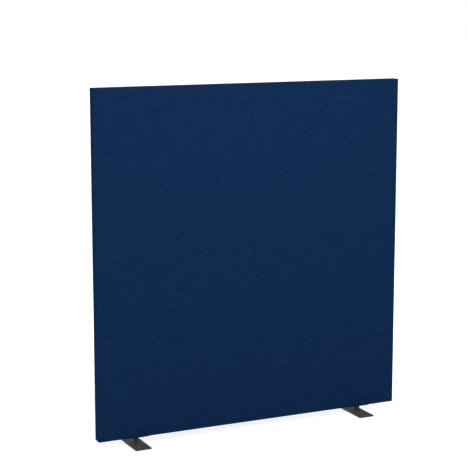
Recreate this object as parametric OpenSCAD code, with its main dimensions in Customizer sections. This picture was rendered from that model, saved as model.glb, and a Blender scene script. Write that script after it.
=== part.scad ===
// Free-standing acoustic divider screen: a fabric-covered panel on two flat steel feet.
// Millimetres. The origin is on the floor under the middle of the screen.
// X runs along the width, Y from the front face to the rear, Z up. The front looks along -Y.

/* [Panel] */
// Width of the panel over its fabric
panel_w = 1600; // [1000:10:2000]
// Height of the panel over its fabric
panel_h = 1650; // [1000:10:2000]
// Thickness of the panel over its fabric
panel_t = 50; // [44:1:70]
// Height of the panel's lower edge above the floor
floor_gap = 42; // [22:1:60]
// Outer radius of the wrapped edges
edge_r = 3; // [2:0.5:5]

/* [Fabric] */
// Thickness of the covering fabric
fabric_t = 1; // [0.6:0.1:1.4]
// Distance of the rear seam from the panel's edges
seam_in = 9; // [6:1:20]
// Depth of the hem turned under the panel
hem_d = 13; // [11:1:15]

/* [Facing and core] */
// Thickness of the felt facing on each side of the frame
facing_t = 5; // [3:0.5:7]
// Gap left round each core batt
batt_gap = 0.3; // [0.1:0.1:0.8]

/* [Timber frame] */
// Width of the two end stiles
stile_w = 45; // [42:1:70]
// Width of the top rail
top_rail_w = 45; // [40:1:70]
// Width of the bottom rail, which carries the feet
bottom_rail_w = 95; // [80:1:140]
// Width of the centre stile
centre_stile_w = 45; // [44:1:70]
// Width of the two mid rails
mid_rail_w = 45; // [40:1:70]

/* [Dowels] */
// Diameter of the dowels
dowel_d = 8; // [6:1:10]
// Length of the dowels
dowel_l = 40; // [30:1:40]
// Spacing of the two dowels in a narrow joint
dowel_pitch = 22; // [16:1:26]
// Spacing of the two dowels at each end of the bottom rail
bottom_dowel_pitch = 50; // [30:1:60]
// Air left at each end of a dowel
dowel_relief = 1; // [0.5:0.5:1]
// Chamfer on each end of a dowel
dowel_chamfer = 1; // [0.5:0.5:2]

/* [Closing strip and staples] */
// Thickness of the strip under the panel
strip_t = 0.6; // [0.4:0.1:1]
// How far the strip laps over each hem
strip_lap = 8; // [5:1:9]
// Distance of the strip's ends from the ends of the panel
strip_end = 20; // [14:1:40]
// Crown length of a staple
staple_w = 10; // [8:1:14]
// Leg length of a staple
staple_l = 8; // [6:1:14]
// Side of the staple's square wire
staple_wire = 0.8; // [0.5:0.1:1.2]
// Largest spacing of the staples
staple_pitch = 100; // [50:5:150]
// Distance of the staple rows from the raw edges of the hems
staple_in = 3; // [2:0.5:5]

/* [Feet] */
// Length of a foot, from front to rear
foot_l = 200; // [160:10:500]
// Width of a foot
foot_w = 80; // [60:1:120]
// Thickness of the foot plate
foot_t = 6; // [4:0.5:8]
// Radius of the foot plate's corners
foot_corner_r = 3; // [1:0.5:10]
// Radius of the foot plate's eased edges
foot_edge_r = 0.8; // [0.4:0.1:1.5]
// Distance of the middle of a foot from the end of the panel
foot_inset = 195; // [140:5:300]
// Width of the riser tube
riser_w = 20; // [15:1:40]
// Depth of the riser tube
riser_d = 20; // [15:1:30]
// Wall of the riser tube
riser_wall = 2; // [1.5:0.5:4]
// Outer corner radius of the riser tube
riser_corner_r = 3; // [2:0.5:5]

/* [Head plates] */
// Width of the head plate under the panel
head_w = 120; // [110:5:240]
// Thickness of the head plate
head_t = 4; // [3.5:0.5:6]
// Distance of the head plate's edges from the panel's faces
head_in = 8; // [6:0.5:9]
// Radius of the head plate's corners
head_corner_r = 4; // [1:0.5:8]

/* [Head screws] */
// Spacing of the screws along the width
screw_pitch_x = 90; // [70:5:95]
// Spacing of the screws across the thickness
screw_pitch_y = 14; // [13:1:15]
// Diameter of the screw shank
screw_d = 6; // [4:0.5:6]
// Length of the screw, countersunk head included
screw_l = 25; // [20:1:40]
// Diameter of the countersunk head
screw_head_d = 12; // [9:0.5:12]
// Height of the countersunk head
screw_head_h = 3; // [2:0.5:3]
// Size of the hexagon socket across its flats
socket_af = 4; // [2.5:0.5:4]
// Depth of the hexagon socket
socket_depth = 2.5; // [1.5:0.5:3]
// Air round the shank in its clearance holes
screw_gap = 0.3; // [0.1:0.1:0.5]
// Outer diameter of an insert nut
insert_d = 10; // [9:0.5:12]
// Length of an insert nut
insert_l = 15; // [10:1:18]
// Air round the shank inside the insert nut
thread_gap = 0.05; // [0.02:0.01:0.1]
// Air beyond the tip of the screw
screw_tip_gap = 5; // [2:1:10]

/* [Foot pads] */
// Thickness of a pad
pad_t = 2; // [1:0.5:4]
// Diameter of a pad
pad_d = 30; // [20:1:50]
// Distance of a pad's middle from the end of the foot
pad_in = 25; // [20:1:60]

/* [Hidden] */
$fn = 64;

FABRIC = "#132d52";
FELT = "#b9b8b2";
WOOL = "#a39a6c";
TIMBER = "#d8b681";
DOWEL = "#c79a5f";
STRIP = "#1c1c1e";
STEEL = "#404040";
ZINC = "#aeb1b5";
BRASS = "#b08d3f";
RUBBER = "#202020";

// How far a cutting shape runs past what it cuts
over = 5;

// The panel and its layers
panel_mid_z = floor_gap + panel_h / 2;
panel_top_z = floor_gap + panel_h;
frame_t = panel_t - 2 * (fabric_t + facing_t);
frame_half_w = panel_w / 2 - fabric_t;
frame_low_z = floor_gap + fabric_t;
frame_top_z = panel_top_z - fabric_t;

// The timber frame: the rails run between the stiles
stile_h = frame_top_z - frame_low_z;
stile_face_x = frame_half_w - stile_w;
bottom_rail_top_z = frame_low_z + bottom_rail_w;
top_rail_low_z = frame_top_z - top_rail_w;
bay_mid_z = (bottom_rail_top_z + top_rail_low_z) / 2;
mid_rail_low_z = bay_mid_z - mid_rail_w / 2;
mid_rail_top_z = bay_mid_z + mid_rail_w / 2;
bay_in_x = centre_stile_w / 2;
bay_w = stile_face_x - bay_in_x;

// The feet, from the floor up
foot_x = panel_w / 2 - foot_inset;
foot_top_z = pad_t + foot_t;
strip_low_z = floor_gap - strip_t;
head_low_z = strip_low_z - head_t;
head_d = panel_t - 2 * head_in;
riser_h = head_low_z - foot_top_z;
screw_top_z = head_low_z + screw_l;
// Every screw: its foot's side, then its own side along X and across Y
screw_places = [
    for (foot = [-1, 1], sx = [-1, 1], sy = [-1, 1])
        [foot * foot_x + sx * screw_pitch_x / 2, sy * screw_pitch_y / 2]
];

// Staples stand in two even rows and stay off the head plates
staple_y = panel_t / 2 - hem_d + staple_in;
staple_row_w = 2 * (stile_face_x - staple_w);
staple_gaps = ceil(staple_row_w / staple_pitch);
staple_clear_x = (head_w + staple_w) / 2 + staple_w;
staple_places = [
    for (i = [0 : staple_gaps], side = [-1, 1])
        let (x = -staple_row_w / 2 + i * staple_row_w / staple_gaps)
            if (abs(abs(x) - foot_x) > staple_clear_x) [x, side * staple_y]
];

// Dowels along X, in the ends of the rails
dowels_along_x = [
    for (side = [-1, 1], pair = [-1, 1]) each [
        [side * stile_face_x, top_rail_low_z + top_rail_w / 2 + pair * dowel_pitch / 2],
        [side * stile_face_x, frame_low_z + bottom_rail_w / 2 + pair * bottom_dowel_pitch / 2],
        [side * stile_face_x, bay_mid_z + pair * dowel_pitch / 2],
        [side * bay_in_x, bay_mid_z + pair * dowel_pitch / 2]
    ]
];
// Dowels along Z, in the ends of the centre stile
dowels_along_z = [
    for (z = [bottom_rail_top_z, top_rail_low_z], pair = [-1, 1]) [pair * dowel_pitch / 2, z]
];

// A rectangle with round corners, centred
module round_rect(w, d, r) {
    square([w - 2 * r, d], center = true);
    square([w, d - 2 * r], center = true);
    for (sx = [-1, 1], sy = [-1, 1])
        translate([sx * (w / 2 - r), sy * (d / 2 - r)])
            circle(r = r);
}

// The outer form of the panel, drawn in by an inset on all sides
module panel_block(inset) {
    w = panel_w - 2 * inset;
    t = panel_t - 2 * inset;
    h = panel_h - 2 * inset;
    r = edge_r - inset;
    translate([0, 0, panel_mid_z])
        intersection() {
            linear_extrude(height = h, center = true)
                round_rect(w, t, r);
            rotate([90, 0, 0])
                linear_extrude(height = t, center = true)
                    round_rect(w, h, r);
            rotate([90, 0, 90])
                linear_extrude(height = w, center = true)
                    round_rect(t, h, r);
        }
}

// The whole skin of fabric, one fabric thick
module fabric_skin() {
    difference() {
        panel_block(0);
        panel_block(fabric_t);
    }
}

// The space that the rear cover takes of the skin: the rear face inside the seam, and its hem
module rear_cover_space() {
    w = panel_w - 2 * seam_in;
    h = panel_top_z - seam_in - floor_gap + over;
    translate([-w / 2, panel_t / 2 - hem_d, floor_gap - over])
        cube([w, hem_d + over, h]);
}

// The opening between the hems under the panel
module hem_opening() {
    w = panel_w - 2 * hem_d;
    d = panel_t - 2 * hem_d;
    translate([-w / 2, -d / 2, floor_gap - over])
        cube([w, d, 2 * over]);
}

// A cylinder at every screw
module at_screws(d, low_z, h) {
    for (p = screw_places)
        translate([p[0], p[1], low_z])
            cylinder(d = d, h = h);
}

// One staple, its crown lying under the strip
module staple() {
    translate([-staple_w / 2, -staple_wire / 2, -staple_wire])
        cube([staple_w, staple_wire, staple_wire]);
    for (side = [-1, 1])
        translate([side * (staple_w - staple_wire) / 2, 0, staple_l / 2])
            cube([staple_wire, staple_wire, staple_l], center = true);
}

module all_staples() {
    for (p = staple_places)
        translate([p[0], p[1], strip_low_z])
            staple();
}

// Its children at every dowel, with Z along the dowel
module at_dowels() {
    for (p = dowels_along_x)
        translate([p[0], 0, p[1]])
            rotate([0, 90, 0])
                children();
    for (p = dowels_along_z)
        translate([p[0], 0, p[1]])
            children();
}

// The holes for the dowels, a little deeper than the dowels reach
module dowel_holes() {
    at_dowels()
        cylinder(d = dowel_d, h = dowel_l + 2 * dowel_relief, center = true);
}

// One dowel with chamfered ends
module dowel() {
    body_l = dowel_l - 2 * dowel_chamfer;
    tip_d = dowel_d - 2 * dowel_chamfer;
    cylinder(d = dowel_d, h = body_l, center = true);
    translate([0, 0, body_l / 2])
        cylinder(d1 = dowel_d, d2 = tip_d, h = dowel_chamfer);
    translate([0, 0, -dowel_l / 2])
        cylinder(d1 = tip_d, d2 = dowel_d, h = dowel_chamfer);
}

// A frame timber between two corners, drilled for its dowels
module timber(low_x, high_x, low_z, high_z) {
    color(TIMBER)
        difference() {
            translate([low_x, -frame_t / 2, low_z])
                cube([high_x - low_x, frame_t, high_z - low_z]);
            dowel_holes();
        }
}

// A felt sheet on the front (-1) or the rear (1) of the frame
module facing(side) {
    w = panel_w + 2 * over;
    t = facing_t + over;
    h = panel_h + 2 * over;
    color(FELT)
        intersection() {
            panel_block(fabric_t);
            translate([0, side * (frame_t + t) / 2, panel_mid_z])
                cube([w, t, h], center = true);
        }
}

// A core batt in the bay on the left (-1) or the right (1), between two heights
module batt(side, low_z, high_z) {
    h = high_z - low_z - 2 * batt_gap;
    color(WOOL)
        translate([side * (bay_in_x + bay_w / 2), 0, low_z + batt_gap + h / 2])
            cube([bay_w - 2 * batt_gap, frame_t, h], center = true);
}

module front_cover() {
    color(FABRIC)
        difference() {
            fabric_skin();
            rear_cover_space();
            hem_opening();
            all_staples();
            at_screws(screw_d + 2 * screw_gap, floor_gap - over, 2 * over);
        }
}

module rear_cover() {
    color(FABRIC)
        difference() {
            intersection() {
                fabric_skin();
                rear_cover_space();
            }
            all_staples();
            at_screws(screw_d + 2 * screw_gap, floor_gap - over, 2 * over);
        }
}

module front_facing() {
    facing(-1);
}

module rear_facing() {
    facing(1);
}

module top_rail() {
    timber(-stile_face_x, stile_face_x, top_rail_low_z, frame_top_z);
}

module bottom_rail() {
    difference() {
        timber(-stile_face_x, stile_face_x, frame_low_z, bottom_rail_top_z);
        all_staples();
        at_screws(insert_d, frame_low_z - over, insert_l + over);
        at_screws(screw_d + 2 * screw_gap, frame_low_z, screw_top_z + screw_tip_gap - frame_low_z);
    }
}

module left_stile() {
    timber(-frame_half_w, -stile_face_x, frame_low_z, frame_top_z);
}

module right_stile() {
    timber(stile_face_x, frame_half_w, frame_low_z, frame_top_z);
}

module centre_stile() {
    timber(-bay_in_x, bay_in_x, bottom_rail_top_z, top_rail_low_z);
}

module left_mid_rail() {
    timber(-stile_face_x, -bay_in_x, mid_rail_low_z, mid_rail_top_z);
}

module right_mid_rail() {
    timber(bay_in_x, stile_face_x, mid_rail_low_z, mid_rail_top_z);
}

module frame_dowels() {
    color(DOWEL)
        at_dowels()
            dowel();
}

module upper_left_batt() {
    batt(-1, mid_rail_top_z, top_rail_low_z);
}

module upper_right_batt() {
    batt(1, mid_rail_top_z, top_rail_low_z);
}

module lower_left_batt() {
    batt(-1, bottom_rail_top_z, mid_rail_low_z);
}

module lower_right_batt() {
    batt(1, bottom_rail_top_z, mid_rail_low_z);
}

module closing_strip() {
    w = panel_w - 2 * strip_end;
    d = panel_t - 2 * (hem_d - strip_lap);
    color(STRIP)
        difference() {
            translate([-w / 2, -d / 2, strip_low_z])
                cube([w, d, strip_t]);
            all_staples();
            at_screws(screw_d + 2 * screw_gap, strip_low_z - over, strip_t + 2 * over);
        }
}

module cover_staples() {
    color(ZINC)
        all_staples();
}

// A flat steel bar on its pads, its edges eased
module foot_plate(side) {
    color(STEEL)
        translate([side * foot_x, 0, pad_t + foot_t / 2])
            intersection() {
                linear_extrude(height = foot_t, center = true)
                    round_rect(foot_w, foot_l, foot_corner_r);
                rotate([90, 0, 0])
                    linear_extrude(height = foot_l, center = true)
                        round_rect(foot_w, foot_t, foot_edge_r);
                rotate([90, 0, 90])
                    linear_extrude(height = foot_w, center = true)
                        round_rect(foot_l, foot_t, foot_edge_r);
            }
}

module riser(side) {
    color(STEEL)
        translate([side * foot_x, 0, foot_top_z])
            linear_extrude(height = riser_h)
                difference() {
                    round_rect(riser_w, riser_d, riser_corner_r);
                    square([riser_w - 2 * riser_wall, riser_d - 2 * riser_wall], center = true);
                }
}

module head_plate(side) {
    color(STEEL)
        difference() {
            translate([side * foot_x, 0, head_low_z])
                linear_extrude(height = head_t)
                    round_rect(head_w, head_d, head_corner_r);
            screw_heads();
            at_screws(screw_d + 2 * screw_gap, head_low_z - over, head_t + 2 * over);
        }
}

// The countersunk heads, flush with the underside of the head plates
module screw_heads() {
    for (p = screw_places)
        translate([p[0], p[1], head_low_z])
            cylinder(d1 = screw_head_d, d2 = screw_d, h = screw_head_h);
}

module left_foot_plate() {
    foot_plate(-1);
}

module right_foot_plate() {
    foot_plate(1);
}

module left_riser() {
    riser(-1);
}

module right_riser() {
    riser(1);
}

module left_head_plate() {
    head_plate(-1);
}

module right_head_plate() {
    head_plate(1);
}

module head_screws() {
    color(ZINC)
        difference() {
            union() {
                screw_heads();
                at_screws(screw_d, head_low_z, screw_l);
            }
            for (p = screw_places)
                translate([p[0], p[1], head_low_z - over])
                    cylinder(d = socket_af / cos(30), h = socket_depth + over, $fn = 6);
        }
}

module insert_nuts() {
    color(BRASS)
        difference() {
            at_screws(insert_d, frame_low_z, insert_l);
            at_screws(screw_d + 2 * thread_gap, frame_low_z - over, insert_l + 2 * over);
        }
}

module foot_pads() {
    color(RUBBER)
        for (foot = [-1, 1], end = [-1, 1])
            translate([foot * foot_x, end * (foot_l / 2 - pad_in), 0])
                cylinder(d = pad_d, h = pad_t);
}

front_cover();
rear_cover();
front_facing();
rear_facing();
top_rail();
bottom_rail();
left_stile();
right_stile();
centre_stile();
left_mid_rail();
right_mid_rail();
frame_dowels();
upper_left_batt();
upper_right_batt();
lower_left_batt();
lower_right_batt();
closing_strip();
cover_staples();
left_foot_plate();
right_foot_plate();
left_riser();
right_riser();
left_head_plate();
right_head_plate();
head_screws();
insert_nuts();
foot_pads();
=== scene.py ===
import math
import random

import bpy
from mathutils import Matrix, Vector, noise


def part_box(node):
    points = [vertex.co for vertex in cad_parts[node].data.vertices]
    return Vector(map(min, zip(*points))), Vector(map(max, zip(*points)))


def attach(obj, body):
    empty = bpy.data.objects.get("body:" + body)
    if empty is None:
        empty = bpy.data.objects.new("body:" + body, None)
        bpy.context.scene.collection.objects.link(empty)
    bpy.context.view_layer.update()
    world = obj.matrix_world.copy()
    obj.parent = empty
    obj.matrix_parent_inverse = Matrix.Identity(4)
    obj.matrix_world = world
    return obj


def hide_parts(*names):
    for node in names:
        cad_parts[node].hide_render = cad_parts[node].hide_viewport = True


# A free-standing acoustic screen: a navy fabric panel on two flat steel feet.
# Metres. X runs along the panel, Y from its front face to its rear, Z up.
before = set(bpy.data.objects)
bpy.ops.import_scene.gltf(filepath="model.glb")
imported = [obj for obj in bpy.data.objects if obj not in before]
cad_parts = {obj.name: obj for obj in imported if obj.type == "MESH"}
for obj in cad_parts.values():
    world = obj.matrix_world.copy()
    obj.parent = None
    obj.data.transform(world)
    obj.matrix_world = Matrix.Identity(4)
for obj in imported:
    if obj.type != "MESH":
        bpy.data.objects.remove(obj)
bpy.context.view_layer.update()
MM = 0.001

# The panel, as the frame gives it
PANEL_LOW, PANEL_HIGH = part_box("front_cover")
PANEL_T = PANEL_HIGH.y - PANEL_LOW.y
FABRIC_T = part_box("front_facing")[0].y - PANEL_LOW.y
SEAM_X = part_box("rear_cover")[1].x
SEAM_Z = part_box("rear_cover")[1].z
HEM_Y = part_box("rear_cover")[0].y
HEM_D = PANEL_HIGH.y - HEM_Y
HEM_X = PANEL_HIGH.x - HEM_D

# The rounding of the panel's edges, as on its solids
EDGE_R = 3 * MM

# The grid of the skin: coarse on the faces, fine on the ends and round the edges
EDGE_STEPS = 5
FACE_STEP = 24 * MM
END_STEP = 1.5 * MM

# Grid lines nearer to each other than this are merged
LEAST_STEP = 0.05 * MM

# What counts as a rounding error when steps are counted
ROUNDING = 1e-6

# Edges that turn further than this are shaded sharp
SHARP_DEG = 50

# The folded corner on each end, and how far below it the fine grid starts
FOLD_LIFT = 0.7 * MM
FOLD_STEP = 2.2 * MM
FOLD_FADE = 5 * MM
FOLD_MARGIN = 4 * MM

# The unevenness of the fabric: a wide one and a ripple
SOFT_LIFT = 0.45 * MM
SOFT_WAVE = 260 * MM
SOFT_SEED = Vector((3.1, 7.7, 1.3))
RIPPLE_LIFT = 0.12 * MM
RIPPLE_WAVE = 70 * MM
RIPPLE_SEED = Vector((9.2, 2.4, 5.8))

# The rear seam: a groove no deeper than a share of the fabric, and grid lines beside it
SEAM_DEPTH = 0.75 * MM
SEAM_REACH = 1.7 * MM
SEAM_LINES = [0.3 * MM, 0.7 * MM, 1.1 * MM, 1.7 * MM, 2.6 * MM]
DEEPEST_SHARE = 0.8
NO_SEAM = 1.0

# The turned edge of the rear cover beside its seam
TURN_LIFT = 0.4 * MM
TURN_W = 11 * MM
TURN_FADE = 3 * MM

# The thread that closes the rear seam
STITCH_SEED = 7
STITCH_PITCH = 8 * MM
STITCH_L = 4.6 * MM
STITCH_SLANT = 1.8 * MM
STITCH_JITTER = 0.4 * MM
STITCH_MARGIN = 6 * MM
THREAD_R = 0.32 * MM
THREAD_RISE = 0.5 * MM
THREAD_SINK = 0.2 * MM
THREAD_END_SHARE = 0.55
THREAD_SIDES = 6
THREAD_RINGS = 5

# The felt and the wool inside the panel
FELT_STEP = 45 * MM
FELT_R = 2 * MM
FELT_HOLLOW = 0.25 * MM
WOOL_STEP = 26 * MM
WOOL_R = 5 * MM
WOOL_HOLLOW = 2.2 * MM
ROUND_SHARE = 0.45
WIDE_SCALE = 17
WIDE_SHARE = 0.6
WIDE_SEED = Vector((0, 4.4, 0))
FINE_SCALE = 61
FINE_SHARE = 0.4
FINE_SEED = Vector((8.1, 2.2, 0))

# The strip under the panel: taut near a head plate, and then easing into its sag
STRIP_STEP = 10 * MM
STRIP_CELLS_ACROSS = 10
STRIP_SAG = 0.7 * MM
STRIP_TAUT = 4 * MM
STRIP_EASE = 60 * MM
STRIP_SCALE = Vector((11, 20, 0))
STRIP_SEED = Vector((0, 0, 0.7))

# The welds that hold the risers to their plates
WELD_LEG = 3 * MM
WELD_RIPPLE = 2.6 * MM
WELD_STEP = 0.65 * MM
WELD_ROUGHNESS = 0.10
WELD_NOISE = 0.06
WELD_NOISE_SCALE = Vector((300, 300, 90))
WELD_BULGE = 0.18
WELD_PROFILE = [(0.0, 0.0), (1.0, 0.0), (0.66, 0.34), (0.34, 0.66), (0.0, 1.0)]
RISER_R = 3 * MM

# Colours, linear
NAVY = (0.0071, 0.0277, 0.0868)
NAVY_THREAD = (0.0230, 0.0680, 0.1750)
CHARCOAL = (0.067, 0.067, 0.067)
FELT_GREY = (0.485, 0.479, 0.445)
WOOL_TAN = (0.366, 0.323, 0.150)
PINE = (0.686, 0.468, 0.220)
BEECH = (0.571, 0.323, 0.115)
STRIP_BLACK = (0.0116, 0.0116, 0.0130)
ZINC = (0.423, 0.440, 0.462)
BRASS = (0.434, 0.266, 0.050)
RUBBER = (0.0144, 0.0144, 0.0144)
FLOOR_WHITE = (0.80, 0.80, 0.80, 1.0)
WHITE = (1.0, 1.0, 1.0, 1.0)

# The weave of the covering fabric
THREAD_PITCH = 1.0 * MM

# How far its threads wander, in threads, and the share of its crossings that miss a turn
DRIFT_THREADS = 2.4
BROKEN_SHARE = 0.24

# The height of its fuzz against a thread's
FUZZ_SHARE = 0.35

# The flecks of its yarn, and how many flecks one thread is shifted against another at most
FLECK_L = 7 * MM
FLECK_CONTRAST = 0.42
FLECK_SHIFT = 31.0

# The powers of the tone in the red and the blue, where the green has 1
RED_POWER = 1.5
BLUE_POWER = 0.7

# Numbers that keep the weave's random draws apart
WARP_SALT = 1.0
WEFT_SALT = 2.0
BROKEN_SALT = 3.0
SHIFT_SALT = 7.0

# The sewing thread's twist, in radians a metre
TWIST_RATE = 9000.0

# The dowels' flutes, in radians a metre, and their height against the flecks
FLUTE_RATE = 5200.0
FLUTE_SHARE = 0.5

# The strip's bonded points, whose rates are in radians a metre, and the height of its fibres
BOND_RATES = (1500.0, 2300.0, 1.0)
BOND_LEVEL = 0.55
BOND_FIBRE_SHARE = 0.5

# The powder coat
SPECK_LEVEL = 0.78
SPECK_TONE = 0.45
COAT_GRAIN_SHARE = 0.4
COAT_EDGE_R = 0.5 * MM

# The timber's grain
GRAIN_ALONG = 1.6
GRAIN_ACROSS = 34.0
RING_RATE = 46.0
RING_SHARE = 0.15
FIBRE_STRETCH = (14.0, 14.0, 14.0)

# The fibres of felt and wool
FIBRE_RUNS = [(1.0, 0.16, 0.16), (0.16, 0.16, 1.0), (0.5, 0.2, 0.7)]
MOTTLE_SHARE = 0.08

# How much shinier and duller than its mean a metal's bloom makes it
BLOOM_SHINE = 0.08
BLOOM_DULL = 0.12

# The light: a pale sky, a softbox for each face and a smaller one for each end
SKY_STRENGTH = 0.345
LAMP_WATTS = 70
LAMP_PLACE = (-0.1, -2.6, 2.9)
LAMP_AIM = (0.0, 0.0, 1.0)
LAMP_SIZE = 2.4
END_LAMP_WATTS = 36
END_LAMP_PLACE = (-3.6, 0.0, 2.4)
END_LAMP_SIZE = 1.2

# The floor, and how it brightens to full white away from the object
FLOOR_REACH = 40.0
FLOOR_ROUGHNESS = 0.5
FLOOR_GLOW = 0.49
FLOOR_NEAR = 1.3
FLOOR_FAR = 3.2

# The camera, at the photograph's viewing angle
CAMERA_PLACE = (-3.027, -6.122, 2.138)
CAMERA_YAW_DEG = 25.63
CAMERA_PITCH_DEG = 9.72
CAMERA_LENS_MM = 110.81
CAMERA_SENSOR_MM = 36
CAMERA_REACH = 100

random.seed(STITCH_SEED)


def smooth(t):
    """An even step from 0 to 1 as t goes from 0 to 1."""
    t = min(1.0, max(0.0, t))
    return t * t * (3 - 2 * t)


def spread(low, high, step):
    """Even places from low to high, no further apart than step."""
    count = max(1, math.ceil((high - low) / step - ROUNDING))
    return [low + (high - low) * i / count for i in range(count + 1)]


def edge_lines(low, high, r):
    """Places whose points end up evenly spread round both rounded edges."""
    lines = []
    for i in range(EDGE_STEPS + 1):
        inset = r * (1 - math.tan(math.radians(45 * i / EDGE_STEPS)))
        lines += [low + inset, high - inset]
    return lines


def merged(lines):
    """The places in order, without those that all but repeat."""
    kept = []
    for line in sorted(lines):
        if not kept or line - kept[-1] > LEAST_STEP:
            kept.append(line)
    return kept


def unevenness(place):
    """Smooth noise from about 0 to 1."""
    return 0.5 + 0.5 * noise.noise(place)


def mesh_piece(name, points, faces, material, cloth=None):
    """A smooth mesh object; cloth gives each corner its place on the flat cloth."""
    mesh = bpy.data.meshes.new(name)
    mesh.from_pydata(points, [], faces)
    if cloth is not None:
        layer = mesh.attributes.new("cloth_place", "FLOAT_VECTOR", "CORNER")
        for i, place in enumerate(cloth):
            layer.data[i].vector = place
    mesh.validate()
    mesh.shade_smooth()
    mesh.set_sharp_from_angle(angle=math.radians(SHARP_DEG))
    mesh.materials.append(material)
    piece = bpy.data.objects.new(name, mesh)
    bpy.context.scene.collection.objects.link(piece)
    return piece


# The panel's skin


def box_cells(xs, ys, zs):
    """Every cell on the six sides of a grid box: its side and its corners, seen from outside."""
    nx, ny, nz = len(xs) - 1, len(ys) - 1, len(zs) - 1
    for i in range(nx):
        for k in range(nz):
            yield "front", [(i, 0, k), (i + 1, 0, k), (i + 1, 0, k + 1), (i, 0, k + 1)]
            yield "rear", [(i, ny, k), (i, ny, k + 1), (i + 1, ny, k + 1), (i + 1, ny, k)]
    for j in range(ny):
        for k in range(nz):
            yield "left", [(0, j, k), (0, j, k + 1), (0, j + 1, k + 1), (0, j + 1, k)]
            yield "right", [(nx, j, k), (nx, j + 1, k), (nx, j + 1, k + 1), (nx, j, k + 1)]
    for i in range(nx):
        for j in range(ny):
            yield "top", [(i, j, nz), (i + 1, j, nz), (i + 1, j + 1, nz), (i, j + 1, nz)]
            yield "bottom", [(i, j, 0), (i, j + 1, 0), (i + 1, j + 1, 0), (i + 1, j, 0)]


def rounded(sharp, low, high, r):
    """Where a point of the sharp box lies once its edges are rounded, and which way out is."""
    core = Vector([min(max(c, a + r), b - r) for c, a, b in zip(sharp, low, high)])
    out = (sharp - core).normalized()
    return core + out * r, out


def on_cloth(side, p):
    """The place of a point of the panel on the flat cloth that wraps it."""
    if side == "front":
        return (p.x, p.z, 0)
    if side == "top":
        return (p.x, PANEL_HIGH.z + p.y - PANEL_LOW.y, 0)
    if side == "bottom":
        return (p.x, PANEL_LOW.z - (p.y - PANEL_LOW.y), 0)
    if side == "rear":
        return (-p.x, p.z, 0)
    reach = PANEL_HIGH.x + p.y - PANEL_LOW.y
    return (reach if side == "right" else -reach, p.z, 0)


def seam_distance(side, p):
    """How far a point lies outside the rear seam, or NO_SEAM away from the rear."""
    if side == "rear":
        return max(abs(p.x) - SEAM_X, p.z - SEAM_Z)
    if side == "bottom" and p.y > HEM_Y:
        return abs(p.x) - SEAM_X
    return NO_SEAM


def seam_lift(distance):
    """The groove along the rear seam, and the turned edge beside it."""
    groove = SEAM_DEPTH * (1 - smooth(abs(distance) / SEAM_REACH))
    turned = 0.0
    if distance < 0:
        turned = TURN_LIFT * (1 - smooth((TURN_FADE - distance - TURN_W) / TURN_FADE))
    return turned - groove


def fold_lift(side, p):
    """The folded corner on each end: a flap whose edge runs from the front corner to the rear."""
    if side not in ("left", "right"):
        return 0.0
    into = p.z - (PANEL_HIGH.z - (p.y - PANEL_LOW.y))
    below_top = PANEL_HIGH.z - EDGE_R - p.z
    inside = min(p.y - PANEL_LOW.y, PANEL_HIGH.y - p.y)
    fade = smooth(below_top / FOLD_FADE) * smooth((inside - EDGE_R / 2) / FOLD_FADE)
    return FOLD_LIFT * smooth(into / FOLD_STEP) * fade


def soft_lift(p):
    """The slight unevenness of cloth drawn over felt."""
    wide = unevenness(p / SOFT_WAVE + SOFT_SEED)
    fine = unevenness(p / RIPPLE_WAVE + RIPPLE_SEED)
    return SOFT_LIFT * wide + RIPPLE_LIFT * fine


def panel_lines():
    """The grid lines of the skin: coarse on the faces, fine at edges, seams and folds."""
    low, high = PANEL_LOW, PANEL_HIGH
    fold_z = high.z - PANEL_T - FOLD_MARGIN
    xs = edge_lines(low.x, high.x, EDGE_R) + spread(-HEM_X, HEM_X, FACE_STEP)
    for side in (-1, 1):
        xs.append(side * SEAM_X)
        xs += [side * (SEAM_X + t * d) for t in (-1, 1) for d in SEAM_LINES]
        xs += [side * (SEAM_X - TURN_W + t * TURN_FADE) for t in (0, 0.5, 1)]
    ys = edge_lines(low.y, high.y, EDGE_R) + [-HEM_Y, HEM_Y]
    ys += spread(low.y + EDGE_R, high.y - EDGE_R, END_STEP)
    zs = edge_lines(low.z, high.z, EDGE_R) + spread(low.z + EDGE_R, fold_z, FACE_STEP)
    zs += spread(fold_z, high.z - EDGE_R, END_STEP) + [SEAM_Z]
    zs += [SEAM_Z + t * d for t in (-1, 1) for d in SEAM_LINES]
    return merged(xs), merged(ys), merged(zs)


def in_rear_cover(side, middle):
    """Whether a cell of the skin belongs to the rear cover."""
    inside = abs(middle.x) < SEAM_X and middle.z < SEAM_Z and middle.y > HEM_Y
    return inside and side in ("rear", "bottom")


def in_front_cover(side, middle):
    """Whether a cell of the skin belongs to the front cover and its hems."""
    if in_rear_cover(side, middle):
        return False
    open_below = abs(middle.x) < HEM_X and abs(middle.y) < HEM_Y
    return not (side == "bottom" and open_below)


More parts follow.
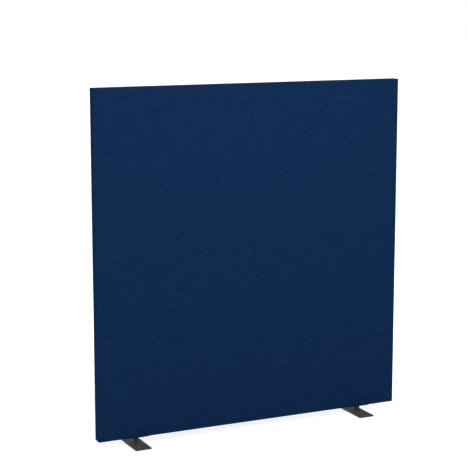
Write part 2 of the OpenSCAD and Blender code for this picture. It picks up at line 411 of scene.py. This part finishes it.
def panel_cover(name, belongs, material):
    """One cover of the panel: the cells of the skin that belong to it, as a closed thin sheet."""
    xs, ys, zs = panel_lines()
    outer, inner, edges = {}, {}, {}
    points, faces, cloth = [], [], []
    for side, corners in box_cells(xs, ys, zs):
        places = [Vector((xs[i], ys[j], zs[k])) for i, j, k in corners]
        middle = sum(places, Vector()) / 4
        if not belongs(side, middle):
            continue
        for key, place in zip(corners, places):
            if key in outer:
                continue
            on_edge, out = rounded(place, PANEL_LOW, PANEL_HIGH, EDGE_R)
            lift = max(seam_lift(seam_distance(side, place)), -DEEPEST_SHARE * FABRIC_T)
            lift += soft_lift(place) + fold_lift(side, place)
            outer[key] = len(points)
            points.append(on_edge + out * lift)
            inner[key] = len(points)
            points.append(on_edge - out * FABRIC_T)
        flat = [on_cloth(side, place) for place in places]
        faces.append([outer[key] for key in corners])
        faces.append([inner[key] for key in reversed(corners)])
        cloth += flat + flat[::-1]
        for n in range(4):
            a, b = corners[n], corners[(n + 1) % 4]
            edges[(a, b)] = (flat[n], flat[(n + 1) % 4])
    for (a, b), (flat_a, flat_b) in edges.items():
        if (b, a) not in edges:
            faces.append([outer[b], outer[a], inner[a], inner[b]])
            cloth += [flat_b, flat_a, flat_a, flat_b]
    return mesh_piece(name, points, faces, material, cloth)


# The rear seam's thread


def tube(points, faces, centres, r, sides):
    """Adds a closed tube along centres to points and faces, drawn in at its ends."""
    first = len(points)
    for n, centre in enumerate(centres):
        along = centres[min(n + 1, len(centres) - 1)] - centres[max(n - 1, 0)]
        across = along.cross(Vector((0, 1, 0))).normalized()
        up = across.cross(along).normalized()
        share = THREAD_END_SHARE if n in (0, len(centres) - 1) else 1.0
        for s in range(sides):
            turn = math.tau * s / sides
            points.append(centre + (across * math.cos(turn) + up * math.sin(turn)) * r * share)
    for n in range(len(centres) - 1):
        for s in range(sides):
            a = first + n * sides + s
            b = first + n * sides + (s + 1) % sides
            faces.append([a, b, b + sides, a + sides])
    last = first + (len(centres) - 1) * sides
    faces.append([first + s for s in reversed(range(sides))])
    faces.append([last + s for s in range(sides)])


def stitch_runs():
    """Both upright runs of the rear seam and the one along the top: start, way and length."""
    runs = []
    for side in (-1, 1):
        start = Vector((side * SEAM_X, PANEL_HIGH.y, PANEL_LOW.z + STITCH_MARGIN))
        runs.append((start, Vector((0, 0, 1)), SEAM_Z - PANEL_LOW.z - 2 * STITCH_MARGIN))
    start = Vector((-SEAM_X + STITCH_MARGIN, PANEL_HIGH.y, SEAM_Z))
    runs.append((start, Vector((1, 0, 0)), 2 * SEAM_X - 2 * STITCH_MARGIN))
    return runs


def seam_stitches(material):
    """Slanted stitches that draw the two covers together along the rear seam."""
    points, faces = [], []
    for start, along, length in stitch_runs():
        across = along.cross(Vector((0, 1, 0)))
        count = int(length / STITCH_PITCH)
        for n in range(count):
            middle = start + along * (n + 0.5) * length / count
            middle += along * random.uniform(-STITCH_JITTER, STITCH_JITTER)
            centres = []
            for ring in range(THREAD_RINGS):
                t = ring / (THREAD_RINGS - 1) - 0.5
                rise = THREAD_RISE * (1 - (2 * t) ** 2) - THREAD_SINK
                place = middle + across * STITCH_L * t + along * STITCH_SLANT * t
                centres.append(place + Vector((0, rise, 0)))
            tube(points, faces, centres, THREAD_R, THREAD_SIDES)
    return mesh_piece("rear_seam_stitches", points, faces, material)


# The soft pieces inside and under the panel


def soft_block(name, node, step, r, hollow, material):
    """A soft slab in a node's place: rounded edges, and faces that are slightly uneven."""
    low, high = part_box(node)
    r = min(r, (high.y - low.y) * ROUND_SHARE)
    grids = []
    for a, b in zip(low, high):
        grids.append(merged(edge_lines(a, b, r) + spread(a + r, b - r, step)))
    wide_from = WIDE_SEED + Vector((low.x, 0, low.z))
    fine_from = FINE_SEED + Vector((0, 0, low.x))
    index, points, faces = {}, [], []
    for _, corners in box_cells(*grids):
        for key in corners:
            if key in index:
                continue
            sharp = Vector([grid[i] for grid, i in zip(grids, key)])
            place, out = rounded(sharp, low, high, r)
            sunk = WIDE_SHARE * unevenness(place * WIDE_SCALE + wide_from)
            sunk += FINE_SHARE * unevenness(place * FINE_SCALE + fine_from)
            index[key] = len(points)
            points.append(place - out * hollow * sunk)
        faces.append([index[key] for key in corners])
    piece = mesh_piece(name, points, faces, material)
    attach(piece, "root")
    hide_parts(node)
    return piece


def closing_strip(material):
    """The non-woven strip under the panel, sagging a little away from the head plates."""
    low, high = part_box("closing_strip")
    grids = [
        merged(spread(low.x, high.x, STRIP_STEP)),
        merged(spread(low.y, high.y, (high.y - low.y) / STRIP_CELLS_ACROSS)),
        [low.z, high.z],
    ]
    plates = [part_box(side + "_head_plate") for side in ("left", "right")]
    index, points, faces, cloth = {}, [], [], []
    for _, corners in box_cells(*grids):
        flat = []
        for key in corners:
            sharp = Vector([grid[i] for grid, i in zip(grids, key)])
            flat.append((sharp.x, sharp.y + sharp.z, 0))
            if key in index:
                continue
            free = min(max(a.x - sharp.x, sharp.x - b.x) for a, b in plates)
            inward = max(0.0, 1 - (2 * sharp.y / (high.y - low.y)) ** 2)
            wave = unevenness(sharp * STRIP_SCALE + STRIP_SEED)
            eased = smooth((free - STRIP_TAUT) / STRIP_EASE)
            index[key] = len(points)
            points.append(sharp - Vector((0, 0, STRIP_SAG * wave * inward * eased)))
        faces.append([index[key] for key in corners])
        cloth += flat
    piece = mesh_piece("closing_strip_cloth", points, faces, material, cloth)
    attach(piece, "root")
    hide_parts("closing_strip")
    return piece


# The welds


def riser_outline(low, high, step):
    """Points round a riser's rounded outline with the way out at each, evenly spread."""
    corners = []
    for n, (sx, sy) in enumerate([(1, 1), (-1, 1), (-1, -1), (1, -1)]):
        x = (high.x if sx > 0 else low.x) - sx * RISER_R
        y = (high.y if sy > 0 else low.y) - sy * RISER_R
        corners.append((Vector((x, y)), n * math.pi / 2))
    arc_cells = math.ceil(math.pi / 2 * RISER_R / step)
    outline = []
    for n, (centre, turn) in enumerate(corners):
        for i in range(arc_cells + 1):
            a = turn + math.pi / 2 * i / arc_cells
            out = Vector((math.cos(a), math.sin(a)))
            outline.append((centre + out * RISER_R, out))
        # The straight side that follows keeps the last way out
        start = centre + out * RISER_R
        end = corners[(n + 1) % 4][0] + out * RISER_R
        count = math.ceil((end - start).length / step)
        outline += [(start.lerp(end, i / count), out) for i in range(1, count)]
    return outline


def riser_welds(side, material):
    """The two fillet welds that hold a riser to its foot plate and its head plate."""
    low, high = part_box(side + "_riser")
    outline = riser_outline(low, high, WELD_STEP)
    size = len(WELD_PROFILE)
    points, faces = [], []
    for base, up in ((low.z, 1), (high.z, -1)):
        first = len(points)
        for n, (place, out) in enumerate(outline):
            ripple = 1 + WELD_ROUGHNESS * math.sin(math.tau * n * WELD_STEP / WELD_RIPPLE)
            spot = Vector((place.x, place.y, base)) * WELD_NOISE_SCALE
            ripple += WELD_NOISE * noise.noise(spot)
            for reach, rise in WELD_PROFILE:
                bulge = 1 + WELD_BULGE * (reach * rise > 0)
                leg = WELD_LEG * ripple * bulge
                at = place + out * reach * leg
                points.append(Vector((at.x, at.y, base + up * rise * leg)))
        for n in range(len(outline)):
            a = first + n * size
            b = first + (n + 1) % len(outline) * size
            for k in range(size):
                m = (k + 1) % size
                quad = [a + k, b + k, b + m, a + m]
                faces.append(quad if up < 0 else quad[::-1])
    piece = mesh_piece(side + "_riser_welds", points, faces, material)
    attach(piece, "root")
    return piece


# Materials


class Graph:
    """A node tree, with a short call for each kind of node that is used here."""

    def __init__(self, owner):
        owner.use_nodes = True
        self.owner = owner
        self.nodes = owner.node_tree.nodes
        self.links = owner.node_tree.links
        self.nodes.clear()

    def feed(self, socket, value):
        """Links a socket to another or sets it to a value, and leaves it alone for None."""
        if isinstance(value, bpy.types.NodeSocket):
            self.links.new(value, socket)
        elif value is not None:
            socket.default_value = value

    def add(self, kind, values=(), **settings):
        """A node of a kind, with its settings and its inputs by name or number."""
        made = self.nodes.new("ShaderNode" + kind)
        for key, value in settings.items():
            setattr(made, key, value)
        for key, value in dict(values).items():
            self.feed(made.inputs[key], value)
        return made

    def math(self, operation, *values):
        return self.add("Math", enumerate(values), operation=operation).outputs[0]

    def vector(self, operation, *values):
        return self.add("VectorMath", enumerate(values), operation=operation).outputs[0]

    def scaled(self, vector, factor):
        values = {"Vector": vector, "Scale": factor}
        return self.add("VectorMath", values, operation="SCALE").outputs[0]

    def product(self, first, *others):
        for other in others:
            first = self.math("MULTIPLY", first, other)
        return first

    def either(self, first, second, choice):
        """first where choice is 1, and second where it is 0."""
        rest = self.math("SUBTRACT", 1.0, choice)
        return self.math("ADD", self.product(first, choice), self.product(second, rest))

    def parts(self, vector):
        return self.add("SeparateXYZ", {0: vector}).outputs

    def joined(self, x, y, z=0.0):
        return self.add("CombineXYZ", {0: x, 1: y, 2: z}).outputs[0]

    def noise(self, vector, scale, detail=2.0, roughness=0.5):
        values = {"Vector": vector, "Scale": scale, "Detail": detail, "Roughness": roughness}
        return self.add("TexNoise", values, noise_dimensions="3D").outputs[0]

    def random(self, vector):
        return self.add("TexWhiteNoise", {"Vector": vector}, noise_dimensions="3D").outputs[0]

    def wave(self, value, rate):
        """The sine of a value times a rate, from -1 to 1."""
        return self.math("SINE", self.math("MULTIPLY", value, rate))

    def halved(self, wave):
        """A wave from -1 to 1, brought to lie from 0 to 1."""
        return self.math("MULTIPLY_ADD", wave, 0.5, 0.5)

    def ranged(self, value, low, high):
        """value, from 0 to 1, brought to lie from low to high."""
        return self.add("MapRange", {"Value": value, "To Min": low, "To Max": high}).outputs[0]

    def crown(self, across):
        """The rise of a round thread: 1 in its middle and 0 at its edges, half a thread away."""
        return self.math("SUBTRACT", 1.0, self.product(4.0, self.product(across, across)))

    def flecks(self, thread, along, salt):
        """The tone of a melange yarn: pale and dark lengths that follow one another."""
        drawn = self.random(self.joined(thread, salt, SHIFT_SALT))
        shift = self.math("MULTIPLY", drawn, FLECK_SHIFT)
        run = self.math("MULTIPLY_ADD", along, THREAD_PITCH / FLECK_L, shift)
        part = self.math("FLOOR", run)
        tone = self.random(self.joined(thread, part, salt))
        return self.ranged(tone, 1 - FLECK_CONTRAST, 1 + FLECK_CONTRAST)

    def colour(self, base, *factors):
        """The base colour times each of the factors."""
        made = self.joined(*base)
        for factor in factors:
            made = self.scaled(made, factor)
        return made

    def bump(self, height, distance, strength, normal=None):
        values = {"Height": height, "Distance": distance, "Strength": strength, "Normal": normal}
        return self.add("Bump", values).outputs[0]

    def place(self):
        """The place of a point on the object, in metres."""
        return self.add("TexCoord").outputs["Object"]

    def cloth_place(self):
        """The place of a point on the flat cloth, in metres."""
        return self.add("Attribute", attribute_name="cloth_place").outputs["Vector"]

    def seen(self):
        """1 for what the camera sees straight, mirrored or through glass, and otherwise 0."""
        path = self.add("LightPath").outputs
        straight = self.math("MAXIMUM", path["Is Camera Ray"], path["Is Glossy Ray"])
        return self.math("MAXIMUM", straight, path["Is Transmission Ray"])

    def finish(self, **sockets):
        """Ends a material in a principled shader with the given sockets."""
        shader = self.add("BsdfPrincipled")
        for key, value in sockets.items():
            self.feed(shader.inputs[key.replace("_", " ")], value)
        self.add("OutputMaterial", {"Surface": shader.outputs[0]})
        return self.owner


def material_graph(name):
    """The empty node tree of a new material."""
    return Graph(bpy.data.materials.new(name))


def woven_fabric(name, base):
    """A crepe-woven polyester: broken plain weave, each thread its own tone, a soft heather, and
    painted shade where the threads dip between one another.
    """
    g = material_graph(name)
    cloth = g.cloth_place()
    drift = g.math("MULTIPLY", g.noise(cloth, scale=55.0, detail=1.0), DRIFT_THREADS)
    u_raw, v_raw, _ = g.parts(cloth)
    u = g.math("MULTIPLY_ADD", u_raw, 1 / THREAD_PITCH, drift)
    v = g.math("MULTIPLY_ADD", v_raw, 1 / THREAD_PITCH, drift)
    warp, weft = g.math("FLOOR", u), g.math("FLOOR", v)
    across = g.math("SUBTRACT", g.math("SUBTRACT", u, warp), 0.5)
    along = g.math("SUBTRACT", g.math("SUBTRACT", v, weft), 0.5)
    turn = g.math("PINGPONG", g.math("ADD", warp, weft), 1.0)
    broken = g.math("LESS_THAN", g.random(g.joined(warp, weft, BROKEN_SALT)), BROKEN_SHARE)
    over = g.math("ABSOLUTE", g.math("SUBTRACT", turn, broken))
    bow_u = g.math("COSINE", g.math("MULTIPLY", across, math.pi))
    bow_v = g.math("COSINE", g.math("MULTIPLY", along, math.pi))
    warp_height = g.product(g.crown(across), bow_v)
    weft_height = g.product(g.crown(along), bow_u)
    height = g.either(warp_height, weft_height, over)
    thread_tone = g.either(g.flecks(warp, v, WARP_SALT), g.flecks(weft, u, WEFT_SALT), over)
    heather = g.ranged(g.noise(cloth, scale=150.0, roughness=0.6), 0.50, 1.50)
    broad = g.ranged(g.noise(cloth, scale=9.0), 0.94, 1.06)
    # Painted shade: the tone darkens towards the edges of each thread, where the weave dips.
    depth = g.ranged(height, 0.82, 1.10)
    tone = g.product(thread_tone, heather, broad, depth)
    red, blue = g.math("POWER", tone, RED_POWER), g.math("POWER", tone, BLUE_POWER)
    fuzz = g.noise(cloth, scale=2600.0, roughness=0.6)
    surface = g.math("ADD", height, g.math("MULTIPLY", fuzz, FUZZ_SHARE))
    return g.finish(
        Base_Color=g.vector("MULTIPLY", g.joined(*base), g.joined(red, tone, blue)),
        Roughness=g.ranged(fuzz, 0.84, 0.97),
        Specular_IOR_Level=0.0,
        Normal=g.bump(surface, distance=0.22 * MM, strength=0.55),
    )


def twisted_thread(name, base):
    """Sewing thread with its twist, painted darker along the twist's grooves and paler on its
    ridges: painted shade.
    """
    g = material_graph(name)
    x, y, z = g.parts(g.place())
    twist = g.wave(g.math("ADD", g.math("ADD", x, y), z), TWIST_RATE)
    # Painted shade: the thread's colour follows the twist, darker in its grooves and paler on its
    # ridges.
    tone = g.ranged(g.halved(twist), 0.75, 1.2)
    return g.finish(
        Base_Color=g.colour(base, tone),
        Roughness=g.ranged(tone, 0.6, 0.75),
        Specular_IOR_Level=0.05,
        Normal=g.bump(twist, distance=0.08 * MM, strength=0.6),
    )


def powder_coat(name, base):
    """A fine-textured powder coat: a slight orange peel, with painted shade that makes its peaks
    paler and its dips darker, and a few paler specks of dust and wear.
    """
    g = material_graph(name)
    place = g.place()
    peel = g.noise(place, scale=620.0, detail=3.0, roughness=0.6)
    cloud = g.noise(place, scale=40.0, detail=3.0)
    grain = g.noise(place, scale=2200.0, detail=1.0)
    specks = g.math("GREATER_THAN", g.noise(place, scale=1100.0, detail=0.0), SPECK_LEVEL)
    # Painted shade: the colour is paler on the peaks of the orange peel and darker in its dips. The
    # specks are dust and wear.
    specks_and_peel_shade = g.math("MULTIPLY_ADD", specks, SPECK_TONE, g.ranged(peel, 0.50, 1.50))
    height = g.math("ADD", peel, g.math("MULTIPLY", grain, COAT_GRAIN_SHARE))
    eased = g.add("Bevel", {"Radius": COAT_EDGE_R}, samples=4).outputs[0]
    return g.finish(
        Base_Color=g.colour(base, g.ranged(cloud, 0.80, 1.20), specks_and_peel_shade),
        Roughness=g.ranged(peel, 0.62, 0.78),
        Specular_IOR_Level=0.03,
        Normal=g.bump(height, distance=0.30 * MM, strength=0.8, normal=eased),
    )


def timber(name, base, axis):
    """Planed softwood whose grain runs along an axis, with growth rings and fine fibres."""
    g = material_graph(name)
    stretch = [GRAIN_ALONG if axis == one else GRAIN_ACROSS for one in "XYZ"]
    stretched = g.vector("MULTIPLY", g.place(), stretch)
    rings = g.wave(g.noise(stretched, scale=0.6), RING_RATE)
    fine = g.vector("MULTIPLY", stretched, FIBRE_STRETCH)
    fibres = g.noise(fine, scale=1.0, detail=3.0, roughness=0.7)
    height = g.math("ADD", fibres, g.math("MULTIPLY", rings, RING_SHARE))
    ring_tone = g.ranged(g.halved(rings), 0.74, 1.06)
    return g.finish(
        Base_Color=g.colour(base, ring_tone, g.ranged(fibres, 0.86, 1.12)),
        Roughness=g.ranged(fibres, 0.55, 0.75),
        Normal=g.bump(height, distance=0.25 * MM, strength=0.4),
    )


def dowel_wood(name, base):
    """Beech dowel with pressed flutes and fine dark flecks."""
    g = material_graph(name)
    place = g.place()
    x, y, z = g.parts(place)
    flutes = g.wave(g.math("ADD", y, g.math("ADD", x, z)), FLUTE_RATE)
    flecks = g.noise(place, scale=700.0, roughness=0.7)
    height = g.math("MULTIPLY_ADD", flutes, FLUTE_SHARE, flecks)
    return g.finish(
        Base_Color=g.colour(base, g.ranged(flecks, 0.78, 1.15)),
        Roughness=g.ranged(flecks, 0.5, 0.7),
        Normal=g.bump(height, distance=0.15 * MM, strength=0.5),
    )


def fibre_mat(name, base, scale, contrast, depth):
    """Matted fibres: crossing streaks over a mottled ground. It serves the felt and the wool."""
    g = material_graph(name)
    place = g.place()
    streaks = []
    for n, stretch in enumerate(FIBRE_RUNS):
        moved = g.vector("ADD", g.vector("MULTIPLY", place, stretch), (n, 2.0 * n, 0.0))
        streaks.append(g.noise(moved, scale, detail=3.0, roughness=0.65))
    tangle = g.math("MAXIMUM", streaks[0], g.math("MAXIMUM", streaks[1], streaks[2]))
    streak_tone = g.ranged(tangle, 1 - contrast, 1 + contrast)
    mottle_tone = g.ranged(g.noise(place, scale * MOTTLE_SHARE), 0.85, 1.15)
    return g.finish(
        Base_Color=g.colour(base, streak_tone, mottle_tone),
        Roughness=g.ranged(tangle, 0.85, 1.0),
        Specular_IOR_Level=0.15,
        Sheen_Weight=0.15,
        Normal=g.bump(tangle, depth, strength=0.8),
    )


def spunbond(name, base):
    """Non-woven sheet: random fibres pressed together in rows of small oval points."""
    g = material_graph(name)
    cloth = g.cloth_place()
    fibres = g.noise(cloth, scale=1400.0, detail=3.0, roughness=0.7)
    u, v, _ = g.parts(g.vector("MULTIPLY", cloth, BOND_RATES))
    dots = g.product(g.math("SINE", u), g.math("SINE", v))
    pressed = g.math("GREATER_THAN", dots, BOND_LEVEL)
    height = g.math("SUBTRACT", g.math("MULTIPLY", fibres, BOND_FIBRE_SHARE), pressed)
    return g.finish(
        Base_Color=g.colour(base, g.ranged(fibres, 0.6, 1.5), g.ranged(pressed, 1.0, 1.5)),
        Roughness=g.ranged(pressed, 0.85, 0.5),
        Normal=g.bump(height, distance=0.12 * MM, strength=0.7),
    )


def plated_metal(name, base, roughness, streak):
    """Plated or turned metal with fine tool marks and a faint bloom."""
    g = material_graph(name)
    place = g.place()
    drawn = g.vector("MULTIPLY", place, (1.0, 1.0, streak))
    marks = g.noise(drawn, scale=900.0, roughness=0.6)
    bloom = g.noise(place, scale=160.0, detail=3.0)
    return g.finish(
        Base_Color=g.colour(base, g.ranged(bloom, 0.82, 1.12), g.ranged(marks, 0.9, 1.08)),
        Metallic=1.0,
        Roughness=g.ranged(bloom, roughness - BLOOM_SHINE, roughness + BLOOM_DULL),
        Normal=g.bump(marks, distance=0.05 * MM, strength=0.5),
    )


def moulded_rubber(name, base):
    """Matt rubber with a fine moulded grain and a bloom of dust."""
    g = material_graph(name)
    place = g.place()
    grain = g.noise(place, scale=1800.0, roughness=0.6)
    dust = g.noise(place, scale=90.0, detail=3.0)
    return g.finish(
        Base_Color=g.colour(base, g.ranged(dust, 0.85, 1.3), g.ranged(grain, 0.9, 1.1)),
        Roughness=g.ranged(dust, 0.72, 0.9),
        Specular_IOR_Level=0.3,
        Normal=g.bump(grain, distance=0.1 * MM, strength=0.6),
    )


def dress(material, *nodes):
    """Gives CAD nodes their finish."""
    for name in nodes:
        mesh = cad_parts[name].data
        if not mesh.materials:
            mesh.materials.append(material)
        for i in range(len(mesh.materials)):
            mesh.materials[i] = material


# Building it


def build_covers(fabric, thread):
    """Both covers and the seam between them, as they are cut, stretched and sewn."""
    front = panel_cover("front_cover_cloth", in_front_cover, fabric)
    rear = panel_cover("rear_cover_cloth", in_rear_cover, fabric)
    stitches = seam_stitches(thread)
    for piece in (front, rear, stitches):
        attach(piece, "root")
    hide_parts("front_cover")
    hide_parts("rear_cover")


def build_inside(felt, wool):
    """The felt facings and the four core batts."""
    for side in ("front", "rear"):
        node = side + "_facing"
        facing = soft_block(node + "_felt", node, FELT_STEP, FELT_R, FELT_HOLLOW, felt)
    for row in ("upper", "lower"):
        for side in ("left", "right"):
            node = f"{row}_{side}_batt"
            batt = soft_block(node + "_wool", node, WOOL_STEP, WOOL_R, WOOL_HOLLOW, wool)


def build_underside(strip_cloth, coat):
    """The closing strip and the welds of the feet."""
    strip = closing_strip(strip_cloth)
    for side in ("left", "right"):
        riser_welds(side, coat)


def dress_frame(coat):
    """The finish of every CAD node that shows or lies inside."""
    for side in ("left", "right"):
        dress(coat, side + "_foot_plate", side + "_riser", side + "_head_plate")
    rails = ("top_rail", "bottom_rail", "left_mid_rail", "right_mid_rail")
    dress(timber("pine_along_x", PINE, "X"), *rails)
    dress(timber("pine_along_z", PINE, "Z"), "left_stile", "right_stile", "centre_stile")
    dress(dowel_wood("beech_dowel", BEECH), "frame_dowels")
    zinc = plated_metal("zinc_plate", ZINC, roughness=0.32, streak=6.0)
    dress(zinc, "head_screws", "cover_staples")
    dress(plated_metal("turned_brass", BRASS, roughness=0.28, streak=12.0), "insert_nuts")
    dress(moulded_rubber("pad_rubber", RUBBER), "foot_pads")


# Floor, light and camera


def white_floor():
    """A pale floor that the camera sees as white, with the object's soft shadow on it."""
    g = material_graph("pale_floor")
    diffuse = g.add("BsdfDiffuse", {"Color": FLOOR_WHITE, "Roughness": FLOOR_ROUGHNESS})
    away = g.add("VectorMath", {0: g.place()}, operation="LENGTH").outputs["Value"]
    span = {"Value": away, "From Min": FLOOR_NEAR, "From Max": FLOOR_FAR, "To Min": FLOOR_GLOW}
    glow = g.math("MULTIPLY", g.seen(), g.add("MapRange", span).outputs[0])
    white = g.add("Emission", {"Color": WHITE, "Strength": glow})
    both = g.add("AddShader", {0: diffuse.outputs[0], 1: white.outputs[0]})
    g.add("OutputMaterial", {"Surface": both.outputs[0]})
    signs = ((-1, -1), (1, -1), (1, 1), (-1, 1))
    corners = [(x * FLOOR_REACH, y * FLOOR_REACH, 0) for x, y in signs]
    floor = mesh_piece("floor", corners, [(0, 1, 2, 3)], g.owner)


def white_world():
    """An even pale sky, seen as white behind the object."""
    world = bpy.data.worlds.new("pale_sky")
    bpy.context.scene.world = world
    g = Graph(world)
    sky = g.add("Background", {"Color": WHITE, "Strength": SKY_STRENGTH})
    white = g.add("Background", {"Color": WHITE, "Strength": 1.0})
    mix = g.add("MixShader", {0: g.seen(), 1: sky.outputs[0], 2: white.outputs[0]})
    g.add("OutputWorld", {"Surface": mix.outputs[0]})


def softbox(name, place, size, watts):
    """A square softbox at a place, turned to the point of the panel that all lamps face."""
    lamp = bpy.data.lights.new(name, "AREA")
    lamp.shape = "SQUARE"
    lamp.size = size
    lamp.energy = watts
    holder = bpy.data.objects.new(name, lamp)
    holder.location = place
    turn = Vector(LAMP_AIM) - Vector(place)
    holder.rotation_mode = "QUATERNION"
    holder.rotation_quaternion = turn.to_track_quat("-Z", "Y")
    bpy.context.scene.collection.objects.link(holder)


def studio():
    """Soft even light, a little stronger from above on both faces and both ends."""
    white_world()
    x, y, z = LAMP_PLACE
    softbox("front_light", (x, y, z), LAMP_SIZE, LAMP_WATTS)
    softbox("rear_light", (-x, -y, z), LAMP_SIZE, LAMP_WATTS)
    x, y, z = END_LAMP_PLACE
    softbox("left_light", (x, y, z), END_LAMP_SIZE, END_LAMP_WATTS)
    softbox("right_light", (-x, -y, z), END_LAMP_SIZE, END_LAMP_WATTS)


def camera():
    """The camera, in front of the panel, to its left and above its top edge."""
    data = bpy.data.cameras.new("camera")
    data.lens = CAMERA_LENS_MM
    data.sensor_width = CAMERA_SENSOR_MM
    data.clip_end = CAMERA_REACH
    holder = bpy.data.objects.new("camera", data)
    holder.location = CAMERA_PLACE
    pitch = math.radians(90 - CAMERA_PITCH_DEG)
    holder.rotation_euler = (pitch, 0, -math.radians(CAMERA_YAW_DEG))
    bpy.context.scene.collection.objects.link(holder)
    bpy.context.scene.camera = holder


def main():
    """Builds the soft pieces, gives every piece its finish and sets up the studio."""
    coat = powder_coat("charcoal_powder_coat", CHARCOAL)
    build_inside(
        fibre_mat("grey_felt", FELT_GREY, scale=900.0, contrast=0.35, depth=0.2 * MM),
        fibre_mat("mineral_wool", WOOL_TAN, scale=420.0, contrast=0.5, depth=0.8 * MM),
    )
    build_covers(woven_fabric("navy_crepe", NAVY), twisted_thread("navy_thread", NAVY_THREAD))
    build_underside(spunbond("black_non_woven", STRIP_BLACK), coat)
    dress_frame(coat)
    white_floor()
    studio()
    camera()
    bpy.context.scene.view_settings.view_transform = "Standard"


main()
